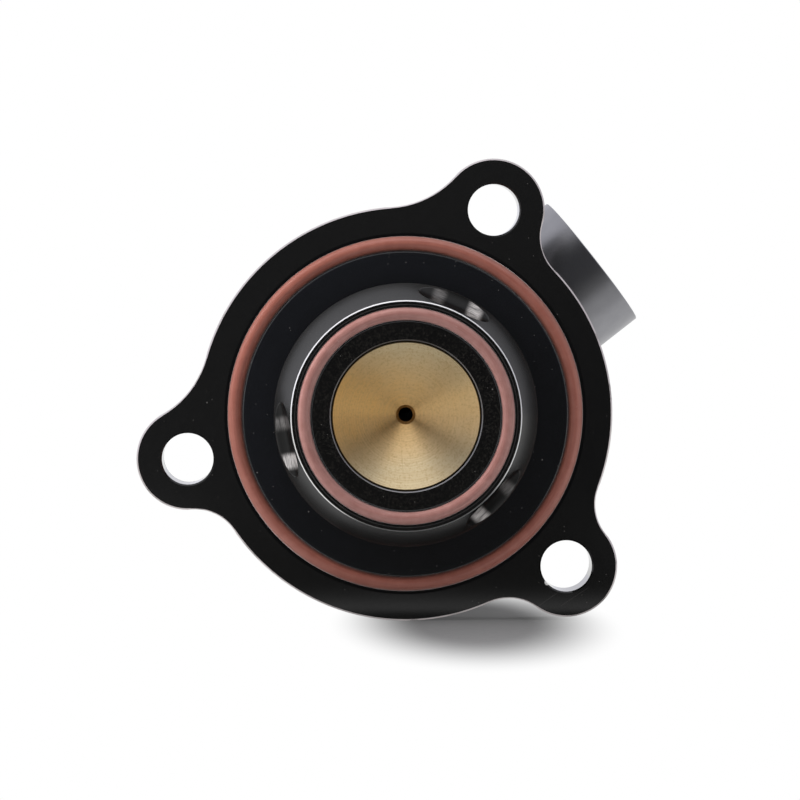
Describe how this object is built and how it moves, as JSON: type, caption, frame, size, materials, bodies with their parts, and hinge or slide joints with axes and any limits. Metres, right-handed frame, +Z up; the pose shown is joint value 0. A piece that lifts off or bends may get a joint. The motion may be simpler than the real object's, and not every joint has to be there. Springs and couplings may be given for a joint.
{
  "type": "blow off valve",
  "caption": "Black three-ear flanged blow off valve with a dished brass piston in a sealed nose, a side vent tube and a pilot solenoid with a plug socket behind.",
  "frame": {"origin": "centre of the mounting face, on the valve axis", "axes": "-Y points out of the nose towards the compressor, +Y back towards the solenoid, +Z is up as in the picture, with the ears at 66.6, 191.6 and 316.6 degrees from +X"},
  "size_m": [0.0673, 0.0696, 0.0609],
  "materials": {
    "black_anodised": "black hard anodised, satin turned faces",
    "vent_black": "black anodised, bright turned",
    "red_rubber": "smooth red-brown seal rubber",
    "pink_rubber": "smooth red-brown seal rubber, faded",
    "black_rubber": "black seal rubber",
    "brass": "fine turned brass",
    "white_ptfe": "white bearing plastic",
    "spring_steel": "drawn spring wire",
    "plain_aluminium": "turned aluminium",
    "black_plastic": "glass-filled moulded plastic, fine grain",
    "soft_iron": "turned and zinc plated",
    "bobbin_plastic": "natural moulded plastic",
    "copper_wire": "enamelled copper wire",
    "tin_plate": "tin plated terminal brass",
    "zinc_screw": "zinc plated steel"
  },
  "bodies": {
    "valve": {"valve_body": "black_anodised", "flange_seal": "red_rubber", "nose_seal": "pink_rubber", "return_spring": "spring_steel", "guide_sleeve": "plain_aluminium", "sleeve_seal": "black_rubber", "vent_outlet": "vent_black", "vent_seal": "black_rubber", "solenoid_housing": "black_plastic", "housing_seal": "black_rubber", "pole_plate": "soft_iron", "flux_can": "soft_iron", "coil_bobbin": "bobbin_plastic", "coil_winding": "copper_wire", "plunger_tube": "soft_iron", "pole_piece": "soft_iron", "plunger_spring": "spring_steel", "terminal_pins": "tin_plate", "solenoid_screws": "zinc_screw", "screw_washers": "zinc_screw"},
    "piston": {"piston": "brass", "piston_guide_ring": "white_ptfe"},
    "plunger": {"plunger": "soft_iron", "plunger_tip": "black_rubber"}
  },
  "joints": [
    {"name": "piston_slide", "type": "slide", "parent": "valve", "child": "piston", "axis": [0, 1, 0], "range_m": [0, 0.012], "stiffness_N_per_m": 800, "springref_m": -0.008, "deforming": ["return_spring"]},
    {"name": "plunger_slide", "type": "slide", "parent": "valve", "child": "plunger", "axis": [0, 1, 0], "range_m": [0, 0.0015], "stiffness_N_per_m": 500, "springref_m": -0.002, "deforming": ["plunger_spring"]}
  ]
}
